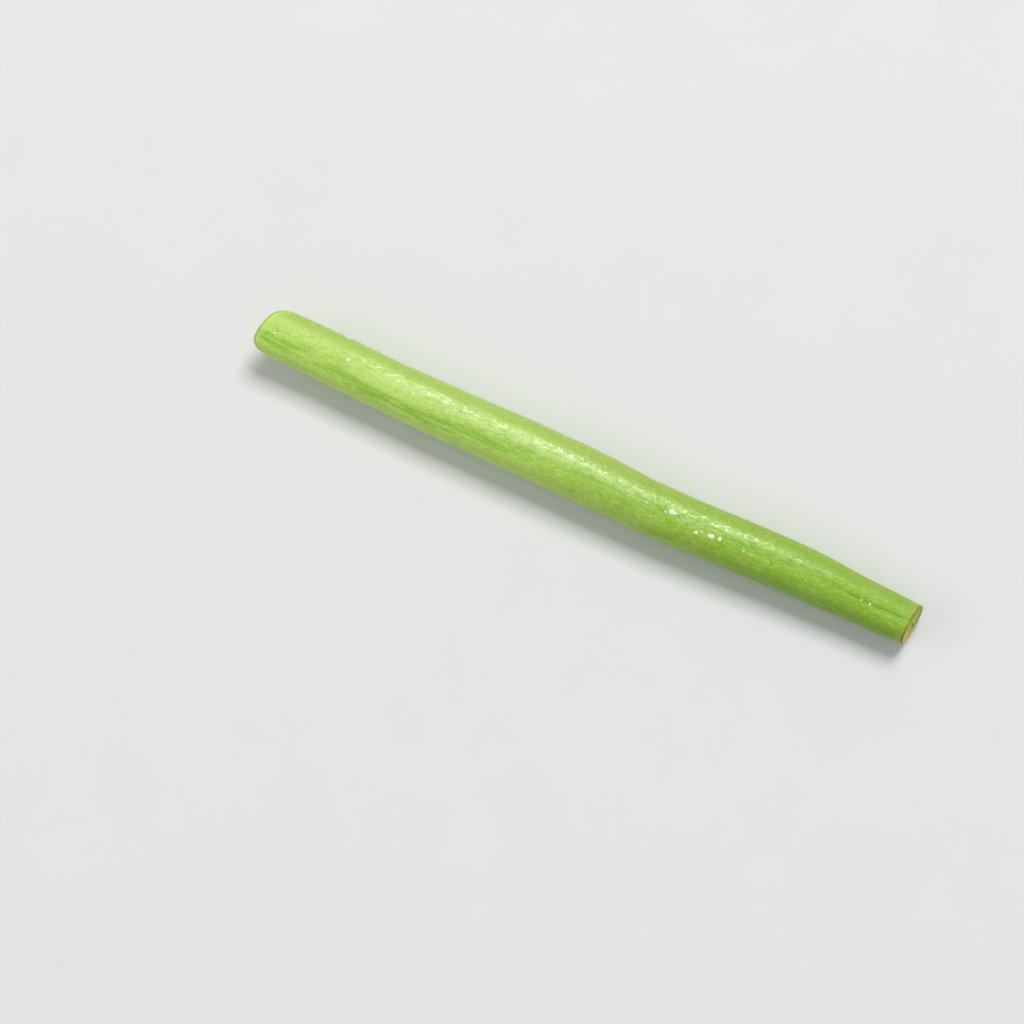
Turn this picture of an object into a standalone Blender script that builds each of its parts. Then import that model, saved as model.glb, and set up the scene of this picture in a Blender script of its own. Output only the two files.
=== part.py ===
"""A trimmed green bean.

One length of fresh green bean, cut at both ends and lying on its belly. +X runs along the
pod towards its thin end and +Z is up. The origin is at the middle of the pod's outline, on
the surface that the belly rests on. Lengths are in metres.
"""

import math

import bmesh
import bpy
from mathutils import Vector

MM = 0.001

# The pod's size
LENGTH = 144.0 * MM  # from tip to tip, after trimming
SPARE = 5.0 * MM  # grown past each tip, and cut away
PRESSED = 0.22 * MM  # how far the belly is flattened where it lies

# The pod's form at a few places along it: the place along, the width, the height, how far the
# pod strays sideways and how far its belly lifts off the surface, all in millimetres, how far
# its upper seam leans off the top, in degrees, and how far its four corners fill out, in
# millimetres
STATIONS = (
    (-78.0, 10.3, 9.6, 0.90, 0.45, 25.0, 0.62),
    (-60.0, 10.5, 9.8, 0.75, 0.05, 25.0, 0.42),
    (-38.0, 10.8, 10.1, 0.12, 0.00, 35.0, 0.22),
    (-4.0, 11.4, 10.5, 0.05, 0.00, 9.0, 0.10),
    (18.0, 10.8, 10.2, -0.55, 0.00, 0.0, 0.10),
    (44.0, 10.5, 9.8, 0.12, 0.03, 0.0, 0.10),
    (60.0, 9.4, 8.9, -0.20, 0.30, 2.0, 0.12),
    (78.0, 8.0, 7.6, -0.50, 1.00, -6.0, 0.14),
)

# The seeds inside swell the pod a little, one after another
SEED_PITCH = 17.0 * MM
SEED_SWELL = 0.03 * MM

# The two seams run the pod's length on opposite sides, each a shallow furrow
SEAM_DEPTH = 0.14 * MM
SEAM_SPREAD = math.radians(13.0)

# How the knife went through: how far each cut runs along the pod for each unit sideways and up
BACK_CUT = (0.28, -1.10)
FRONT_CUT = (0.09, -0.22)
KNIFE_REACH = 0.03 * MM  # corners this near to a cut are taken onto it

# Mesh
SIDES = 36  # a multiple of 4, so that one row of corners runs along the belly
RINGS = 66

TOP = math.radians(90.0)
BELLY = math.radians(270.0)

SKIN_COLOUR = (0.33, 0.56, 0.11, 1.0)
FLESH_COLOUR = (0.50, 0.58, 0.24, 1.0)


def clear_scene():
    """Remove whatever objects the file opened with."""
    for obj in list(bpy.data.objects):
        bpy.data.objects.remove(obj, do_unlink=True)


def slope_at(column, i):
    """The slope of one column of STATIONS at row i, taken across its neighbours."""
    before = STATIONS[max(i - 1, 0)]
    after = STATIONS[min(i + 1, len(STATIONS) - 1)]
    return (after[column] - before[column]) / (after[0] - before[0])


def form_at(along):
    """The pod's form at a place along it: a smooth curve through each column of STATIONS."""
    place = along / MM
    i = max(k for k in range(len(STATIONS) - 1) if k == 0 or STATIONS[k][0] <= place)
    gap = STATIONS[i + 1][0] - STATIONS[i][0]
    t = (place - STATIONS[i][0]) / gap
    form = []
    for column in range(1, len(STATIONS[0])):
        start, end = STATIONS[i][column], STATIONS[i + 1][column]
        leave = slope_at(column, i) * gap
        arrive = slope_at(column, i + 1) * gap
        bend = t * (1 - t) * ((1 - t) * (leave - end + start) - t * (arrive - end + start))
        form.append(start + t * (end - start) + bend)
    return form


def seam_dip(lean, turn):
    """How deep the nearer of the two seams sinks the skin at this turn."""
    off = (turn - TOP - lean + math.pi / 2) % math.pi - math.pi / 2
    return SEAM_DEPTH * math.exp(-((off / SEAM_SPREAD) ** 2))


def skin_point(along, turn):
    """A point of the skin. The turn starts at +Y, and a quarter of a turn is the top."""
    width, height, stray, lift, lean, corner = form_at(along)
    swell = SEED_SWELL * math.cos(math.tau * along / SEED_PITCH)
    squared = corner * MM * math.sin(2 * turn) ** 2
    bulge = swell + squared - seam_dip(math.radians(lean), turn)
    middle = (height / 2 + lift) * MM + swell - PRESSED
    y = stray * MM + (width / 2 * MM + bulge) * math.cos(turn)
    z = middle + (height / 2 * MM + bulge) * math.sin(turn)
    return Vector((along, y, max(z, 0.0)))


def grow_pod(bm):
    """A cylinder with evenly spaced rings, each corner then moved out to the skin."""
    bmesh.ops.create_cone(
        bm, cap_ends=True, segments=SIDES, radius1=1.0, radius2=1.0, depth=1.0
    )
    lengthwise = [e for e in bm.edges if abs(e.verts[0].co.z - e.verts[1].co.z) > 0.5]
    bmesh.ops.subdivide_edges(bm, edges=lengthwise, cuts=RINGS - 1, use_grid_fill=True)
    for vert in bm.verts:
        along = vert.co.z * (LENGTH + 2 * SPARE)
        turn = math.atan2(vert.co.y, vert.co.x)
        vert.co = skin_point(along, turn)


def trim(bm, tip, slopes, outward):
    """Cut the pod off through its tip, and close the cut with one flat face, fanned."""
    sideways, up = slopes
    normal = outward * Vector((1.0, -sideways, -up)).normalized()
    everything = bm.verts[:] + bm.edges[:] + bm.faces[:]
    cut = bmesh.ops.bisect_plane(
        bm,
        geom=everything,
        dist=KNIFE_REACH,
        plane_co=tip,
        plane_no=normal,
        clear_outer=True,
    )["geom_cut"]
    for vert in (g for g in cut if isinstance(g, bmesh.types.BMVert)):
        vert.co -= normal * (vert.co - tip).dot(normal)
    rim = [g for g in cut if isinstance(g, bmesh.types.BMEdge)]
    face = bmesh.ops.contextual_create(bm, geom=rim, mat_nr=1)["faces"][0]
    bmesh.ops.poke(bm, faces=[face])


def centre(bm):
    """Put the middle of the pod's outline over the origin."""
    xs = [v.co.x for v in bm.verts]
    ys = [v.co.y for v in bm.verts]
    middle = Vector((min(xs) + max(xs), min(ys) + max(ys), 0.0)) / 2
    bmesh.ops.translate(bm, vec=-middle, verts=bm.verts)


def material(name, colour, roughness):
    mat = bpy.data.materials.new(name)
    mat.use_nodes = True
    shader = mat.node_tree.nodes["Principled BSDF"]
    shader.inputs["Base Color"].default_value = colour
    shader.inputs["Roughness"].default_value = roughness
    shader.inputs["Metallic"].default_value = 0.0
    return mat


def make_bean_pod(collection):
    bm = bmesh.new()
    grow_pod(bm)
    trim(bm, skin_point(-LENGTH / 2, TOP), BACK_CUT, outward=-1)
    trim(bm, skin_point(LENGTH / 2, BELLY), FRONT_CUT, outward=1)
    centre(bm)
    bmesh.ops.recalc_face_normals(bm, faces=bm.faces)
    mesh = bpy.data.meshes.new("bean_pod")
    bm.to_mesh(mesh)
    bm.free()
    mesh.shade_smooth()
    mesh.set_sharp_from_angle(angle=math.radians(40.0))
    mesh.materials.append(material("pod_skin", SKIN_COLOUR, 0.35))
    mesh.materials.append(material("cut_flesh", FLESH_COLOUR, 0.55))
    collection.objects.link(bpy.data.objects.new("bean_pod", mesh))


def main():
    clear_scene()
    parts = bpy.data.collections.new("green_bean")
    bpy.context.scene.collection.children.link(parts)
    make_bean_pod(parts)


main()
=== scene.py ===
# %% [markdown]
# # A fresh green bean
#
# This lesson gives a plain solid of a bean pod the look of the real thing: waxy green skin with
# a seam along its back, a broken wet shine, and two knife cuts that have begun to brown.
#
# The solid comes first, as a fixed frame that nothing here moves. Everything else is worked out
# in the same place and at the same size, so nothing needs fitting afterwards.

# %% Load the frame
import math

import bpy
import numpy as np
from mathutils import Matrix, Vector, noise


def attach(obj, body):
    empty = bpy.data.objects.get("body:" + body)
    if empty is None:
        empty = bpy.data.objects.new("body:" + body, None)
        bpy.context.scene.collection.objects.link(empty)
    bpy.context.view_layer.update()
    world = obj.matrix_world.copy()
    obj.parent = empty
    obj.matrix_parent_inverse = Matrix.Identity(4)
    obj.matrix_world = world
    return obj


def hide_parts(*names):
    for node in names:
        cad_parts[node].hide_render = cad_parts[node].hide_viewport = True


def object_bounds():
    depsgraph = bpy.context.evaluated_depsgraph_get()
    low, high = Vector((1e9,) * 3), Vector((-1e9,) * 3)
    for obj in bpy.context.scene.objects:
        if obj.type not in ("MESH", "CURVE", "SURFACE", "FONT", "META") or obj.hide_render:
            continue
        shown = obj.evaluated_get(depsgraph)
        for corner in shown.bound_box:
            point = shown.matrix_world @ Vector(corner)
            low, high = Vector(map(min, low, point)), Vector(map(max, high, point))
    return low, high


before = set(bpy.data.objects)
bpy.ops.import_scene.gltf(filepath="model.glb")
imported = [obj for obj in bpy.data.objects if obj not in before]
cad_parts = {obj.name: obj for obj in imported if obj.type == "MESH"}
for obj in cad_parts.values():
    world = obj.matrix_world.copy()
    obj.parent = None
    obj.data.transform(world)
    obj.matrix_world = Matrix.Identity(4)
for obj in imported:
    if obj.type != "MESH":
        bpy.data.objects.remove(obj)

MM = 0.001
frame_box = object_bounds()
print("the pod's box, in mm:", [tuple(round(v / MM, 1) for v in corner) for corner in frame_box])

# %% [markdown]
# ## The camera
#
# A bean is looked at from above, as it lies on a board, with the camera leaning back only a few
# degrees. The pod crosses the picture from the upper left to the lower right. A long lens keeps
# both ends the same size. Turning the camera rather than the pod leaves the frame alone.

# %% Camera
LEAN = math.radians(5.0)  # off straight down
POD_SLOPE = math.radians(24.3)  # how steeply the pod falls across the picture
FIELD = 204.8 * MM  # how much the picture takes in, at the pod
LENS, SENSOR = 120.0, 36.0  # in millimetres
AIM = (-15.2 * MM, -7.1 * MM)  # the picture's middle, right and up of the pod's

picture_right = Vector((math.cos(POD_SLOPE), math.sin(POD_SLOPE), 0.0))
picture_up = Vector((-math.sin(POD_SLOPE), math.cos(POD_SLOPE), 0.0))


def put_camera():
    pod_top = frame_box[1].z
    target = picture_right * AIM[0] + picture_up * AIM[1] + Vector((0.0, 0.0, pod_top / 2))
    back = Vector((0.0, 0.0, math.cos(LEAN))) - picture_up * math.sin(LEAN)
    data = bpy.data.cameras.new("camera")
    data.lens, data.sensor_width = LENS, SENSOR
    camera = bpy.data.objects.new("camera", data)
    bpy.context.scene.collection.objects.link(camera)
    turned = Matrix((picture_right, back.cross(picture_right), back)).transposed()
    away = Matrix.Translation(target + back * FIELD * LENS / SENSOR)
    camera.matrix_world = away @ turned.to_4x4()
    bpy.context.scene.camera = camera
    return camera


camera = put_camera()
print("camera height, in mm:", round(camera.location.z / MM))

# %% [markdown]
# ## The pod's form
#
# The solid was grown from a few stations along the pod, each with a width, a height, a sideways
# stray, a lift off the surface, a lean of the seam and a squareness. The same stations are used
# here with far more points between them, so that the fine skin lies exactly over the solid.
# Subdividing the solid would be quicker, but it would round off the cuts and wander off the
# solid's size.

# %% Stations along the pod
# along, width, height, stray and lift in millimetres, the seam's lean in degrees, and how far
# the section's four corners fill out, in millimetres
STATIONS = np.array((
    (-78.0, 10.3, 9.6, 0.90, 0.45, 25.0, 0.62),
    (-60.0, 10.5, 9.8, 0.75, 0.05, 25.0, 0.42),
    (-38.0, 10.8, 10.1, 0.12, 0.00, 35.0, 0.22),
    (-4.0, 11.4, 10.5, 0.05, 0.00, 9.0, 0.10),
    (18.0, 10.8, 10.2, -0.55, 0.00, 0.0, 0.10),
    (44.0, 10.5, 9.8, 0.12, 0.03, 0.0, 0.10),
    (60.0, 9.4, 8.9, -0.20, 0.30, 2.0, 0.12),
    (78.0, 8.0, 7.6, -0.50, 1.00, -6.0, 0.14),
))
LENGTH = 144.0  # from tip to tip
PRESSED = 0.22  # how far the belly is flattened where it lies
SEED_PITCH, SEED_SWELL = 17.0, 0.03  # the seeds swell the pod a little, one after another
SEAM_DEPTH, SEAM_SPREAD = 0.14, math.radians(13.0)
TOP, BELLY = math.radians(90.0), math.radians(270.0)


def form_at(along):
    """The pod's form at many places at once: a smooth curve through each column of STATIONS."""
    places = STATIONS[:, 0]
    i = np.clip(np.searchsorted(places, along, side="right") - 1, 0, len(places) - 2)
    gap = places[i + 1] - places[i]
    t = (along - places[i]) / gap
    first = np.maximum(np.arange(len(places)) - 1, 0)
    last = np.minimum(np.arange(len(places)) + 1, len(places) - 1)
    form = []
    for column in STATIONS.T[1:]:
        slope = (column[last] - column[first]) / (places[last] - places[first])
        rise = column[i + 1] - column[i]
        bend = t * (1 - t) * ((1 - t) * (slope[i] * gap - rise) - t * (slope[i + 1] * gap - rise))
        form.append(column[i] + t * rise + bend)
    return form


def off_seam(lean, turn):
    """The angle from the nearer of the two seams, which face each other across the pod."""
    return (turn - TOP - np.radians(lean) + math.pi / 2) % math.pi - math.pi / 2


def skin(along, turn, relief=0.0):
    """Points of the skin in millimetres. The turn starts at +Y, and a quarter turn is the top."""
    width, height, stray, lift, lean, corner = form_at(along)
    swell = SEED_SWELL * np.cos(math.tau * along / SEED_PITCH)
    dip = SEAM_DEPTH * np.exp(-((off_seam(lean, turn) / SEAM_SPREAD) ** 2))
    bulge = swell + corner * np.sin(2 * turn) ** 2 - dip + relief
    y = stray + (width / 2 + bulge) * np.cos(turn)
    z = height / 2 + lift + swell - PRESSED + (height / 2 + bulge) * np.sin(turn)
    return np.stack((along, y, np.maximum(z, 0.0)), axis=-1)


print("widest, in mm:", round(float(form_at(np.linspace(-72, 72, 200))[0].max()), 2))

# %% [markdown]
# ## The knife cuts
#
# The thick end was cut on a steep slant that runs back under the pod, and the thin end nearly
# square. A boolean with a block would cut them, but it leaves ragged triangles at the rim, where
# the light catches every fault. Here each line of skin is ended on the cut's plane instead, so the
# rows of faces bend gently into the slant and the rim stays clean.

# %% Where each line of skin ends
BACK_CUT = (0.28, -1.10)  # how far the cut runs along the pod, for each unit sideways and up
FRONT_CUT = (0.09, -0.22)


def cut_line(turn, tip_turn, end, slopes):
    """Where the skin meets a cut through the pod's tip, for each turn round the pod."""
    tip = skin(np.array([end]), np.array([tip_turn]))[0]
    along = np.full_like(turn, end)
    for _ in range(6):  # the skin hardly changes along the pod, so this settles at once
        at = skin(along, turn)
        along = tip[0] + slopes[0] * (at[:, 1] - tip[1]) + slopes[1] * (at[:, 2] - tip[2])
    return along


def cut_normal(slopes, outward):
    normal = np.array((1.0, -slopes[0], -slopes[1])) * outward
    return normal / np.linalg.norm(normal)


AROUND, LENGTHWISE = 136, 620  # points round the pod, and rows along it
turns = BELLY + math.tau * np.arange(AROUND) / AROUND
back_line = cut_line(turns, TOP, -LENGTH / 2, BACK_CUT)
front_line = cut_line(turns, BELLY, LENGTH / 2, FRONT_CUT)
print("the back cut slants over", round(float(np.ptp(back_line)), 1), "mm")

# %% [markdown]
# ## The skin's relief
#
# A pod isn't a tube. Its walls swell unevenly, fine fibres run along it, and the skin is pitted
# like very fine orange peel. The seam is a crease inside its furrow, strongest near the thin end.
# All of this is modelled, because the shine breaks up on it and it shows on the outline. Noise is
# read in straightened coordinates, so that the grain follows the pod round its bends.

# %% Noise along the grain
GRAIN_RADIUS = 5.3  # the radius that round-the-pod distances are measured at


def straightened(along, turn):
    """The place on a straight, round pod. Noise read here joins up all the way round."""
    return np.stack((along, GRAIN_RADIUS * np.cos(turn), GRAIN_RADIUS * np.sin(turn)), axis=-1)


def grain(place, along_size, across_size, seed):
    """Smooth noise from -1 to 1, with lumps of the given sizes in millimetres."""
    scaled = place / (along_size, across_size, across_size) + seed * 17.3
    flat = scaled.reshape(-1, 3)
    found = np.fromiter((noise.noise(p) for p in flat.tolist()), float, len(flat))
    return found.reshape(place.shape[:-1])


# %% [markdown]
# ## Scuffs and wet beads
#
# A few places are particular to this pod: a row of small nicks on the far side, most of them
# near the thick end, and a scatter of wet beads where water still clings after washing. Each is
# one line of a short list, placed along the pod and round it. The beads are raised in the skin,
# and the skin's colour paints them near white as painted glints.

# %% Particular places
# along, degrees off the top towards the near side, length, width and depth in millimetres
NICKS = (
    (-55.4, -86.0, 0.7, 2.4, 0.42),
    (-57.9, -84.0, 0.5, 1.8, 0.16),
    (-65.4, -84.0, 0.9, 1.6, 0.32),
    (-63.0, -86.0, 0.5, 1.4, 0.26),
    (-60.4, -88.0, 0.6, 1.8, 0.22),
    (-51.3, -86.0, 0.6, 2.0, 0.22),
    (-47.0, -88.0, 0.5, 1.8, 0.16),
    (-42.5, -88.0, 0.9, 2.2, 0.20),
    (12.0, -88.0, 2.4, 2.0, 0.16),
)
# along, degrees off the top towards the near side, length, width and height in millimetres
BEADS = (
    (18.2, -6.0, 0.92, 0.40, 0.12),
    (16.9, 0.0, 0.36, 0.24, 0.08),
    (12.9, -2.0, 0.34, 0.24, 0.08),
    (24.1, 14.0, 0.46, 0.34, 0.11),
    (25.1, 11.0, 0.28, 0.24, 0.08),
    (27.2, 9.0, 0.72, 0.40, 0.12),
    (29.0, 8.0, 0.34, 0.44, 0.10),
    (30.0, 12.0, 0.26, 0.20, 0.06),
    (59.6, 3.0, 0.26, 0.20, 0.08),
    (61.4, 4.0, 0.28, 0.22, 0.08),
    (55.8, -2.0, 0.18, 0.16, 0.05),
    (-68.8, 8.0, 0.34, 0.24, 0.08),
    (-61.2, -4.0, 0.24, 0.34, 0.07),
    (-53.2, -6.0, 0.28, 0.44, 0.10),
    (39.5, 14.0, 0.28, 0.20, 0.07),
    (36.0, 13.0, 0.26, 0.20, 0.07),
    (34.2, 12.0, 0.24, 0.20, 0.07),
)


def bump_shape(along, turn, centre, off_top, length, width):
    """A smooth mound of height 1 at a place on the skin."""
    across = GRAIN_RADIUS * ((turn - TOP - math.radians(off_top) + math.pi) % math.tau - math.pi)
    return np.exp(-(((along - centre) / length) ** 2 + (across / width) ** 2))


# %% Relief of the whole skin
CREASE_DEPTH, CREASE_WIDTH = 0.075, 0.30
RIM_DROOP, RIM_REACH = 0.10, 0.7  # the skin draws in a little beside a cut


def skin_relief(along, turn, lean, to_cut):
    """The skin's relief in millimetres, and masks for the crease, the nicks and the beads."""
    place = straightened(along, turn)
    across_seam = GRAIN_RADIUS * np.abs(off_seam(lean, turn))
    broken = np.clip(0.5 + grain(place, 9.0, 40.0, 1) * 1.4, 0.0, 1.0)
    strength = broken * np.interp(along, (-70, -30, 20, 50, 70), (0.5, 0.25, 0.4, 1.0, 0.9))
    crease = np.exp(-((across_seam / CREASE_WIDTH) ** 2)) * strength
    nick = sum(bump_shape(along, turn, *n[:4]) * n[4] for n in NICKS)
    bead = sum(bump_shape(along, turn, *b[:4]) * b[4] for b in BEADS)
    relief = 0.075 * grain(place, 11.0, 5.0, 2)  # uneven walls
    relief += 0.016 * grain(place, 4.5, 0.62, 3)  # fibres
    relief += 0.011 * grain(place, 1.3, 0.75, 4)  # orange peel
    relief -= CREASE_DEPTH * crease
    relief -= RIM_DROOP * np.exp(-to_cut / RIM_REACH)
    masks = {"crease": crease, "nick": np.clip(nick * 4, 0, 1), "bead": np.clip(bead * 12, 0, 1)}
    return relief - nick + bead, masks


# %% [markdown]
# ## One closed skin
#
# The skin is a grid of points, rows along the pod and columns round it. A grid rather than a
# modifier gives every point its own place on the pod, which the materials read later as named
# attributes. Rows crowd towards the cuts, so that the rims are crisp.

# %% Grid of the skin
RIM_ROUNDING = 0.10  # how far the rim is rounded over


def row_shares(count):
    """Shares from 0 to 1 with a few close rows at each end."""
    near = RIM_ROUNDING / LENGTH * np.array((0.0, 0.5, 1.2, 2.5))
    return np.concatenate((near, np.linspace(0, 1, count)[1:-1], (1 - near)[::-1]))


shares = row_shares(LENGTHWISE)
share, turn = np.meshgrid(shares, turns, indexing="ij")
along = back_line * (1 - share) + front_line * share
to_back, to_front = along - back_line, front_line - along
to_cut = np.minimum(to_back, to_front)
lean = form_at(along)[4]
relief, masks = skin_relief(along, turn, lean, to_cut)
skin_points = skin(along, turn, relief)
print("skin grid:", skin_points.shape[:2], "relief from", round(float(relief.min()), 2),
      "to", round(float(relief.max()), 2), "mm")

# %% [markdown]
# ## The cut faces
#
# Cut across, a pod shows a thin green skin, moist pale flesh and a slim gap between its two
# halves, where the seeds grew. Rings of points step in from the rim, and change on the way from
# the rim's shape to the gap's, then go down into the gap. The flesh shrinks a little as it dries,
# so it sinks between the rim and the gap.

# %% Rings of a cut face
GAP_LENGTH, GAP_WIDTH = 0.42, 0.085  # of the pod's height and width
GAP_DEPTH = 0.9
FACE_RINGS, GAP_RINGS = 22, 7
RIM_STEP = 0.03  # the first ring stands this share of the way in, to keep the rim crisp
SUNK = 0.30  # how far the flesh has shrunk between the rim and the gap


def cut_rings(rim, normal, lean, seed):
    """Rings from the rim to the bottom of the gap: their points, and the share of the way out."""
    middle = rim.mean(axis=0)
    out = rim - middle
    along_gap = np.array((0.0, -math.sin(lean), math.cos(lean)))
    along_gap -= normal * along_gap.dot(normal)
    along_gap /= np.linalg.norm(along_gap)
    across_gap = np.cross(normal, along_gap)
    reach, spread = np.abs(out @ along_gap).max(), np.abs(out @ across_gap).max()
    ratio = np.stack((out @ along_gap / reach, out @ across_gap / spread), axis=-1)
    ratio /= np.linalg.norm(ratio, axis=1, keepdims=True)
    lens = ratio[:, :1] * GAP_LENGTH * reach * along_gap
    lens = lens + ratio[:, 1:] * np.abs(ratio[:, 1:]) * GAP_WIDTH * spread * across_gap
    rings, outs = [], []
    for k in range(1, FACE_RINGS + 1):
        s = 1 - (RIM_STEP if k == 1 else k / FACE_RINGS)
        place = middle + lens * (1 - s) + out * s
        wander = grain(place, 1.4, 1.4, seed) * 0.05 + grain(place, 0.5, 0.5, seed + 1) * 0.02
        sunk = SUNK * math.sin(math.pi * s) ** 0.8 - 0.06 * math.exp(-((s - 0.93) / 0.04) ** 2)
        rings.append(place - normal * (sunk + np.abs(wander) * math.sin(math.pi * s))[:, None])
        outs.append(np.full(len(rim), s))
    for k in range(1, GAP_RINGS + 1):
        down = k / GAP_RINGS
        narrow = 1 - 0.75 * down ** 1.5
        place = middle + lens * narrow - normal * GAP_DEPTH * math.sin(down * math.pi / 2)
        rings.append(place)
        outs.append(np.full(len(rim), -down))
    return np.array(rings), np.array(outs)


def lean_at(along):
    """How far the seam leans off the top at one place, in radians."""
    return math.radians(float(form_at(np.array([along]))[4][0]))


BACK_MIDDLE, FRONT_MIDDLE = -66.0, 72.0  # where the middle of each cut lies along the pod
back_normal, front_normal = cut_normal(BACK_CUT, -1), cut_normal(FRONT_CUT, 1)
back_rings, back_outs = cut_rings(skin_points[0], back_normal, lean_at(BACK_MIDDLE), 21)
front_rings, front_outs = cut_rings(skin_points[-1], front_normal, lean_at(FRONT_MIDDLE), 31)
print("rings on each cut:", len(back_rings))

# %% [markdown]
# ## Building the mesh
#
# All the rings now run in one order: up out of the back gap, across the back cut, along the skin,
# across the front cut and down into the front gap. Joining each ring to the next gives one closed
# surface, and a last point closes the bottom of each gap. Then the whole is moved so that its
# middle stands where the solid's does.

# %% Mesh
SKIN_SLOT, FLESH_SLOT = 0, 1


def ring_faces(rows, columns):
    """Quads between each ring and the next, all the way round."""
    corner = np.arange(rows * columns).reshape(rows, columns)
    after = np.roll(corner, -1, axis=1)
    return np.stack((corner[:-1], after[:-1], after[1:], corner[1:]), axis=-1).reshape(-1, 4)


def build_pod():
    rings = np.concatenate((back_rings[::-1], skin_points, front_rings))
    rows = len(rings)
    ends = np.array((rings[0].mean(axis=0), rings[-1].mean(axis=0)))
    points = np.concatenate((rings.reshape(-1, 3), ends))
    faces = ring_faces(rows, AROUND).tolist()
    first, last = rows * AROUND, rows * AROUND + 1
    for j in range(AROUND):
        k = (j + 1) % AROUND
        faces.append((first, k, j))
        faces.append((last, (rows - 1) * AROUND + j, (rows - 1) * AROUND + k))
    middle = (points.min(axis=0) + points.max(axis=0)) / 2
    solid_middle = (frame_box[0] + frame_box[1]) / 2 / MM
    points[:, 0] += solid_middle.x - middle[0]
    points[:, 1] += solid_middle.y - middle[1]
    mesh = bpy.data.meshes.new("green_bean")
    mesh.from_pydata((points * MM).tolist(), [], faces)
    slot = np.full(len(faces), FLESH_SLOT)
    cut_rows = len(back_rings)
    slot[cut_rows * AROUND:(cut_rows + len(skin_points) - 1) * AROUND] = SKIN_SLOT
    return mesh, slot


mesh, slot_of_face = build_pod()
pod = bpy.data.objects.new("green_bean", mesh)
bpy.context.scene.collection.objects.link(pod)
print("faces:", len(mesh.polygons))

# %% [markdown]
# ## What the materials can read
#
# Painting by formula needs to know where on the pod a point is: how far along, how far round,
# how near the seam and how near a cut. These go onto the mesh as attributes, which follow it
# everywhere and cost nothing to read.

# %% Attributes
def in_mesh_order(back, body, front, ends):
    """One value or vector for each point of the mesh, in the order that the mesh has them."""
    width = body.shape[2:]
    return np.concatenate((back[::-1].reshape(-1, *width), body.reshape(-1, *width),
                           front.reshape(-1, *width), ends))


def carried_over(body):
    """Values of the skin, carried on unchanged over the cuts from their rims."""
    back = np.repeat(body[:1], len(back_rings), axis=0)
    front = np.repeat(body[-1:], len(front_rings), axis=0)
    return in_mesh_order(back, body, front, body[[0, -1], 0])


def store(name, values):
    kind, field = ("FLOAT", "value") if values.ndim == 1 else ("FLOAT_VECTOR", "vector")
    layer = mesh.attributes.new(name, kind, "POINT")
    layer.data.foreach_set(field, values.astype(np.float32).ravel())


measured = {
    "along": along,
    "side": np.cos(turn),
    "off_seam": GRAIN_RADIUS * np.abs(off_seam(lean, turn)),
    "to_back": to_back,
    "to_front": to_front,
    "place": straightened(along, turn),
}
for name, values in {**measured, **masks}.items():
    store(name, carried_over(values))
outward = in_mesh_order(back_outs, np.ones_like(along), front_outs, [-1.0, -1.0])
store("outward", outward)
print("attributes:", [a.name for a in mesh.attributes if a.domain == "POINT"])

# %% [markdown]
# ## Unwrapping
#
# The finish can be baked to a picture later, so the mesh carries a flat layout of its own. The
# skin is slit along the belly and cut into four lengths, laid in two rows of two, and each cut
# face gets a round patch above them. An automatic unwrap would lay the long skin slantwise and
# waste most of the picture.

# %% Layout of the skin and the cuts
MARGIN, SKIN_TOP = 0.006, 0.87


def cell_points(length, share, round_share):
    """Where a point of one of the four lengths of skin goes."""
    column, row = length % 2, length // 2
    width, height = 0.5 - 2 * MARGIN, SKIN_TOP / 2 - 2 * MARGIN
    u = column * 0.5 + MARGIN + share * width
    v = row * SKIN_TOP / 2 + MARGIN + round_share * height
    return np.stack((u, v), axis=-1)


def disc_points(centre_u, outs, turns):
    """Where the points of a cut face go: a disc, with the gap's walls squeezed into its middle."""
    reach = (1 - SKIN_TOP) / 2 - MARGIN
    radius = reach * np.where(outs >= 0, 0.3 + 0.7 * outs, 0.29 * (1 + outs) + 0.01)
    centre_v = (1 + SKIN_TOP) / 2
    return np.stack((centre_u + radius * np.cos(turns), centre_v + radius * np.sin(turns)), axis=-1)


def quad_corners(grid):
    """The four corners of every face of a grid whose last column repeats the first."""
    return np.stack((grid[:-1, :-1], grid[:-1, 1:], grid[1:, 1:], grid[1:, :-1]), axis=2)


def lay_out():
    round_shares = np.arange(AROUND + 1) / AROUND
    wide_turns = math.tau * round_shares
    outs = outward[:-2].reshape(-1, AROUND)[:, :1].repeat(AROUND + 1, axis=1)
    cut_rows, skin_rows = len(back_rings), len(skin_points)
    back = disc_points(0.25, outs[:cut_rows + 1], wide_turns)
    front = disc_points(0.75, outs[cut_rows + skin_rows - 1:], wide_turns)
    ends = np.linspace(0, skin_rows - 1, 5).astype(int)
    layout = [quad_corners(back)]
    for length, (first, last) in enumerate(zip(ends[:-1], ends[1:])):
        rows = (shares[first:last + 1] - shares[first]) / (shares[last] - shares[first])
        share, round_share = np.meshgrid(rows, round_shares, indexing="ij")
        layout.append(quad_corners(cell_points(length, share, round_share)))
    layout.append(quad_corners(front))
    quads = np.concatenate(layout).reshape(-1, 2)
    back_middle, front_middle = (disc_points(u, np.array(-1.1), 0.0) for u in (0.25, 0.75))
    fans = []
    for j in range(AROUND):
        fans += [back_middle, back[0, j + 1], back[0, j]]
        fans += [front_middle, front[-1, j], front[-1, j + 1]]
    layer = mesh.uv_layers.new(name="OFBake")
    layer.data.foreach_set("uv", np.concatenate((quads, fans)).astype(np.float32).ravel())


lay_out()
print("layout:", mesh.uv_layers[0].name)

# %% [markdown]
# ## Shader maths as expressions
#
# Node trees made in code are hard to read as a list of links. A small class that wraps a socket
# lets the materials below say `mask * 0.5 + 0.2`, and adds the nodes for it.

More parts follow.
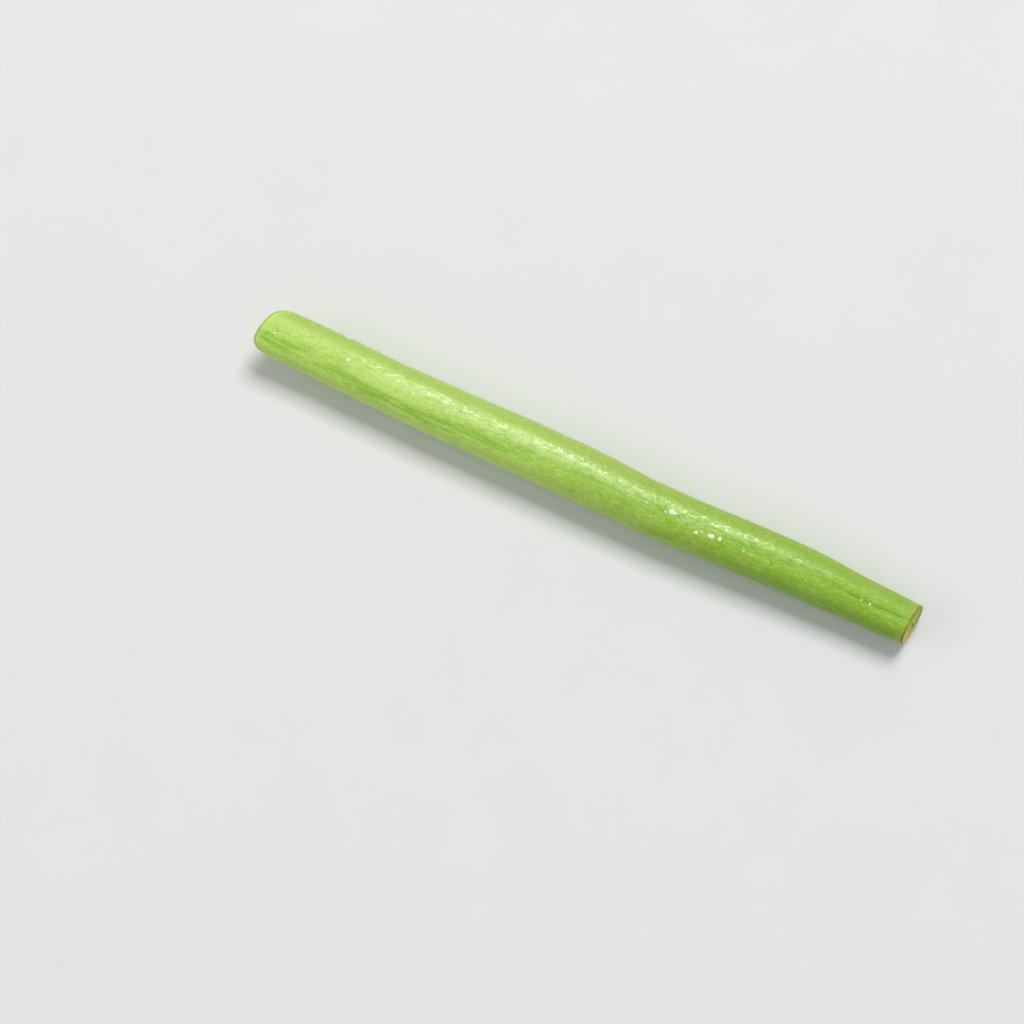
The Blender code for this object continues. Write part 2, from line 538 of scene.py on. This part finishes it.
# %% A socket that can be calculated with
class Wire:
    """An output socket, or the material it belongs to, with arithmetic that adds nodes."""

    def __init__(self, tree, socket=None):
        self.tree, self.socket = tree, socket

    def node(self, kind, settings=None, out=0, **inputs):
        """Any node: its settings are set first, then each socket's value or link."""
        made = self.tree.nodes.new(kind)
        for name, value in (settings or {}).items():
            setattr(made, name, value)
        for name, value in inputs.items():
            numbered = name[1:].isdigit()
            socket = made.inputs[int(name[1:]) if numbered else name.replace("_", " ")]
            if isinstance(value, Wire):
                self.tree.links.new(value.socket, socket)
            else:
                socket.default_value = value
        return Wire(self.tree, made.outputs[out])

    def maths(self, operation, a, b=0.0, clamp=False):
        return self.node("ShaderNodeMath", {"operation": operation, "use_clamp": clamp}, _0=a, _1=b)

    def __add__(self, other):
        return self.maths("ADD", self, other)

    def __sub__(self, other):
        return self.maths("SUBTRACT", self, other)

    def __rsub__(self, other):
        return self.maths("SUBTRACT", other, self)

    def __mul__(self, other):
        return self.maths("MULTIPLY", self, other)

    __radd__, __rmul__ = __add__, __mul__

    def clamped(self):
        return self.maths("ADD", self, 0.0, clamp=True)

    def ramp(self, low, high):
        """0 below low, 1 above high, and smooth between. low may be the larger."""
        return self.node("ShaderNodeMapRange", {"interpolation_type": "SMOOTHSTEP"},
                         Value=self, _1=low, _2=high)

    def value(self, name):
        return self.node("ShaderNodeAttribute", {"attribute_name": name}, out="Fac")

    def vector(self, name):
        return self.node("ShaderNodeAttribute", {"attribute_name": name}, out="Vector")

    def stretched(self, *sizes):
        """This vector divided by a size along each axis."""
        return self.node("ShaderNodeVectorMath", {"operation": "DIVIDE"}, _0=self, _1=sizes)

    def moved(self, *by):
        return self.node("ShaderNodeVectorMath", {"operation": "ADD"}, _0=self, _1=by)

    def noise(self, detail=2.0, roughness=0.5):
        """Noise from 0 to 1 at this place."""
        return self.node("ShaderNodeTexNoise", Vector=self, Scale=1.0, Detail=detail,
                         Roughness=roughness)

    def mix(self, mask, low, high):
        """A colour that goes from low to high with the mask."""
        return self.node("ShaderNodeMix", {"data_type": "RGBA"}, out=2, _0=mask, _6=low, _7=high)


def colour(red, green, blue):
    """A screen colour, 0 to 255, as the linear light that shaders work in."""
    return tuple((c / 255 / 12.92 if c <= 10 else ((c / 255 + 0.055) / 1.055) ** 2.4)
                 for c in (red, green, blue)) + (1.0,)


def new_material(name):
    """A material with one Principled shader, and a Wire into its nodes."""
    made = bpy.data.materials.new(name)
    made.use_nodes = True
    return made, made.node_tree.nodes["Principled BSDF"], Wire(made.node_tree)


def plug(shader, **sockets):
    for name, value in sockets.items():
        socket = shader.inputs[name.replace("_", " ")]
        if isinstance(value, Wire):
            shader.id_data.links.new(value.socket, socket)
        else:
            socket.default_value = value


# %% [markdown]
# ## The skin
#
# Fresh pod skin is a thin wax over green tissue that the light goes a little way into. The
# colour isn't even: broad pale clouds, streaks drawn out along the fibres, a purer green beside
# the seam, a duller far flank, and yellowish ends. Light and shade are painted in too: a painted
# sheen along the top, painted light paling the thick end and its near side, painted shade on both
# flanks towards the thin end, and painted glints on the wet beads. The wax is patchy, so the
# shine breaks into flecks. Mixing these one over another, each with its own mask, keeps every one
# of them easy to adjust.

# %% Skin material
def skin_colours(w, at):
    """The skin's colour, painted light and shade included, from the broad clouds down to the
    specks.
    """
    run, side = w.value("along"), w.value("side")
    clouds = at.stretched(8.0, 3.4, 3.4).noise(3.0, 0.55)
    streaks = at.stretched(9.0, 0.9, 0.9).moved(3.0, 5.0, 1.0).noise(3.0, 0.55)
    mottle = at.stretched(1.5, 0.8, 0.8).moved(9.0, 2.0, 4.0).noise(4.0, 0.62)
    speckle = at.stretched(0.42, 0.30, 0.30).moved(2.0, 2.0, 7.0).noise(1.0)

    leafy, pale = colour(148, 187, 54), colour(194, 227, 108)
    # paler towards the thick end: partly the pod's own paler tone, partly painted light
    paler_and_lit_back = run.ramp(66.0, -48.0)
    tone = paler_and_lit_back * 0.95 + (clouds - 0.5) * 1.1
    tone = tone + (streaks - 0.5) * 0.6 + (mottle - 0.5) * 1.5
    mixed = w.mix(tone.clamped(), leafy, pale)
    # painted sheen: a pale band along the top where the shine falls, broken up by the mottle like
    # wax bloom
    painted_sheen = side.ramp(-0.28, 0.10) * side.ramp(0.56, 0.25)
    painted_sheen = painted_sheen * run.ramp(-66.0, -34.0) * run.ramp(64.0, 14.0)
    mixed = w.mix(painted_sheen * mottle.ramp(0.28, 0.58) * 0.56, mixed, colour(216, 238, 160))
    # painted light: the near half of the thick end made paler
    painted_light_near_back = side.ramp(0.05, -0.40) * run.ramp(0.0, -45.0)
    mixed = w.mix(painted_light_near_back * 0.45, mixed, colour(202, 236, 118))
    # the far flank is duller, with painted shade darkening it towards the thin end
    dull_and_shaded_far_flank = w.mix(run.ramp(-40.0, 60.0), colour(158, 186, 88), colour(138, 170, 58))
    mixed = w.mix(side.ramp(0.20, 0.75) * 0.75, mixed, dull_and_shaded_far_flank)
    lit_and_shaded_near_flank = side.ramp(-0.35, -0.95)
    # painted shade: the near flank darker towards the thin end
    mixed = w.mix(lit_and_shaded_near_flank * run.ramp(-30.0, 56.0) * 0.46, mixed, colour(104, 150, 30))
    # painted light: the near flank paler towards the thick end
    mixed = w.mix(lit_and_shaded_near_flank * run.ramp(34.0, -40.0) * 0.62, mixed, colour(196, 226, 112))
    seam = w.value("off_seam") + (mottle - 0.5) * 2.2
    beside_seam = seam.ramp(1.9, 0.4) * streaks.ramp(0.34, 0.58)
    faint = run.ramp(-24.0, -8.0) * run.ramp(20.0, 8.0) * 0.45 + run.ramp(34.0, 48.0) * 0.25
    mixed = w.mix(beside_seam * (0.70 - faint), mixed, colour(128, 192, 36))
    mixed = w.mix(w.value("crease") * streaks.ramp(0.35, 0.6) * 0.7, mixed, colour(84, 138, 28))
    mixed = w.mix(speckle.ramp(0.50, 0.74) * 0.22, mixed, colour(210, 234, 146))
    mixed = w.mix(speckle.ramp(0.49, 0.26) * 0.24, mixed, colour(100, 152, 28))
    dry_end = w.value("to_front").ramp(2.2, 0.0)
    mixed = w.mix(dry_end * 0.4, mixed, colour(180, 196, 92))
    mixed = w.mix(w.value("to_back").ramp(2.0, 0.2) * 0.55, mixed, colour(206, 232, 136))
    rim = w.value("to_front").ramp(0.8, 0.1) * mottle.ramp(0.35, 0.55)
    mixed = w.mix(rim * 0.65, mixed, colour(140, 104, 42))
    torn = (w.value("nick") + (mottle - 0.5) * 4.0).ramp(0.85, 1.25) * side.ramp(0.90, 0.97)
    mixed = w.mix(torn * run.ramp(-58.0, -62.0) * 0.6, mixed, colour(224, 236, 180))
    # painted glints: the wet beads painted near white
    wet_and_glint = (w.value("bead") + (speckle - 0.5) * 0.9).ramp(0.42, 0.62)
    return w.mix(wet_and_glint * 0.92, mixed, colour(244, 250, 230))


def skin_material():
    made, shader, w = new_material("waxy_skin")
    at = w.vector("place")
    facets = at.stretched(1.0, 0.55, 0.55).moved(5.0, 1.0, 8.0).noise(2.0, 0.55)
    pores = at.stretched(0.34, 0.26, 0.26).noise(1.0)
    wax = at.stretched(1.3, 0.62, 0.62).moved(1.0, 7.0, 2.0).noise(2.0, 0.6)
    patches = at.stretched(6.0, 3.0, 3.0).moved(8.0, 0.0, 2.0).noise(2.0)
    run = w.value("along")
    polished = run.ramp(-60.0, -30.0) * (1 - run.ramp(35.0, 66.0) * 0.6)
    wet_and_glint = w.value("bead").ramp(0.15, 0.5)
    waxy = wax.ramp(0.50, 0.60) * (0.3 + patches.ramp(0.38, 0.6) * 0.7) * (0.2 + polished * 0.8)
    waxy = waxy * w.value("side").ramp(-0.8, -0.3)
    rough = 0.42 - polished * 0.06 - waxy * 0.06 - wet_and_glint * 0.2 + w.value("nick") * 0.15
    height = facets + pores * 0.25
    normal = w.node("ShaderNodeBump", Strength=1.0, Distance=0.00017, Height=height)
    plug(shader, Base_Color=skin_colours(w, at), Roughness=rough, Normal=normal,
         Coat_Weight=waxy * 0.95 + wet_and_glint * 0.6, Coat_Roughness=0.20, Coat_IOR=1.45,
         Subsurface_Weight=0.15, Subsurface_Radius=(0.9, 1.0, 0.25), Subsurface_Scale=0.0010,
         IOR=1.36, Specular_IOR_Level=0.4)
    return made


# %% [markdown]
# ## The cut flesh
#
# Just inside the green rim the cut browns first, in a thin uneven line. Further in the flesh is
# pale and moist, with fibres fanning out from the gap, and tan patches where it has begun to dry.
# Down in the gap a darker, duller green is painted in as shade. The share of the way out from the
# middle, stored on the mesh, places all of these on a rim of any shape.

# %% Flesh material
def flesh_material():
    made, shader, w = new_material("moist_flesh")
    out = w.value("outward")
    here = w.node("ShaderNodeTexCoord", out="Object").stretched(MM, MM, MM)
    ragged = out + (here.stretched(0.9, 0.9, 0.9).noise(3.0) - 0.5) * 0.10
    fans = w.vector("place").stretched(1.0, 0.45, 0.45).noise(2.0)
    grainy = here.stretched(0.22, 0.22, 0.22).noise(2.0)
    patches = here.stretched(2.4, 2.4, 2.4).moved(4.0, 1.0, 8.0).noise(3.0, 0.6)

    flesh = w.mix(fans, colour(146, 182, 66), colour(198, 212, 112))
    fresh = w.value("to_front").ramp(0.5, 2.0) * 0.7
    near_side = w.value("side").ramp(0.55, -0.55) * out.ramp(0.05, 0.60) * 0.29
    drying = patches + near_side * (1 - fresh) + (fans - 0.5) * 0.25
    drying = drying.ramp(0.46, 0.80) * (0.95 - fresh * 0.75)
    flesh = w.mix(drying, flesh, colour(230, 196, 92))
    near_gap = ragged.ramp(0.34, 0.05) * ragged.ramp(-0.4, 0.0)
    flesh = w.mix(near_gap * 0.4, flesh, colour(212, 214, 132))
    around = w.vector("place").stretched(3.2, 3.2, 3.2).moved(0.0, 3.0, 6.0).noise(3.0, 0.6)
    browned = ragged.ramp(0.84, 0.93) * ragged.ramp(1.0, 0.955)
    browned = browned * (around.ramp(0.44, 0.60) * 0.7 + 0.12) * (1 - fresh)
    flesh = w.mix(browned, flesh, colour(140, 106, 46))
    flesh = w.mix(out.ramp(0.955, 0.985), flesh, colour(134, 176, 62))
    # painted shade: darker, duller green down in the gap
    flesh = w.mix(out.ramp(0.0, -0.45), flesh, colour(146, 166, 78))
    normal = w.node("ShaderNodeBump", Strength=0.5, Distance=0.0002, Height=grainy + fans)
    plug(shader, Base_Color=flesh, Roughness=0.38 + grainy * 0.25, Normal=normal,
         Subsurface_Weight=0.25, Subsurface_Radius=(1.0, 1.0, 0.35), Subsurface_Scale=0.001,
         IOR=1.4, Specular_IOR_Level=0.3)
    return made


for made in (skin_material(), flesh_material()):
    mesh.materials.append(made)
mesh.polygons.foreach_set("material_index", slot_of_face.astype(np.int32))
mesh.shade_smooth()
mesh.update()
print("materials:", [m.name for m in mesh.materials])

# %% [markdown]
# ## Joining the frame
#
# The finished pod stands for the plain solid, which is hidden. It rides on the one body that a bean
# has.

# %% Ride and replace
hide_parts("bean_pod")
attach(pod, "root")

# %% [markdown]
# ## Table and light
#
# A plain pale surface lets the green speak. It curves up into a wall far off on every side, so
# that no horizon shows, whichever way the pod is looked at. One large soft lamp stands over the
# far side and draws the line of shine along the pod, and a weaker one fills the near side.

# %% Table
def make_table():
    """A round table whose edge sweeps up into a wall."""
    flat, sweep, wall, steps, sectors = 2.4, 1.2, 3.2, 12, 64
    bend = np.linspace(0, math.pi / 2, steps)
    radii = np.concatenate(((0.01,), flat + sweep * np.sin(bend), (flat + sweep,)))
    heights = np.concatenate(((0.0,), sweep * (1 - np.cos(bend)), (wall,)))
    angles = -math.tau * np.arange(sectors) / sectors
    rings = [(r * math.cos(a), r * math.sin(a), z) for r, z in zip(radii, heights) for a in angles]
    faces = ring_faces(len(radii), sectors).tolist() + [list(range(sectors))[::-1]]
    data = bpy.data.meshes.new("table")
    data.from_pydata(rings, [], faces)
    data.shade_smooth()
    table = bpy.data.objects.new("table", data)
    table.location.z = -0.00002
    bpy.context.scene.collection.objects.link(table)
    made, shader, w = new_material("table_top")
    speck = w.node("ShaderNodeTexCoord", out="Object").stretched(0.02, 0.02, 0.02).noise(3.0)
    grey = w.mix(speck, (0.80, 0.80, 0.79, 1.0), (0.83, 0.83, 0.82, 1.0))
    plug(shader, Base_Color=grey, Roughness=0.8)
    data.materials.append(made)


make_table()


# %% Lamps
def lamp(name, direction, distance, size, watts):
    """A square soft lamp that looks at the pod from the given direction."""
    data = bpy.data.lights.new(name, "AREA")
    data.size, data.energy = size, watts
    made = bpy.data.objects.new(name, data)
    bpy.context.scene.collection.objects.link(made)
    made.location = direction.normalized() * distance
    made.rotation_euler = direction.to_track_quat("Z", "Y").to_euler()


lamp("key", Vector((-0.04, 0.58, 0.82)), 3.0, 1.1, 60.0)
lamp("fill", Vector((-0.70, -0.35, 0.62)), 2.2, 1.4, 7.0)

world = bpy.data.worlds.new("surroundings")
world.use_nodes = True
world.node_tree.nodes["Background"].inputs["Color"].default_value = (0.92, 0.96, 1.0, 1.0)
world.node_tree.nodes["Background"].inputs["Strength"].default_value = 0.33
bpy.context.scene.world = world
bpy.context.scene.view_settings.view_transform = "Standard"
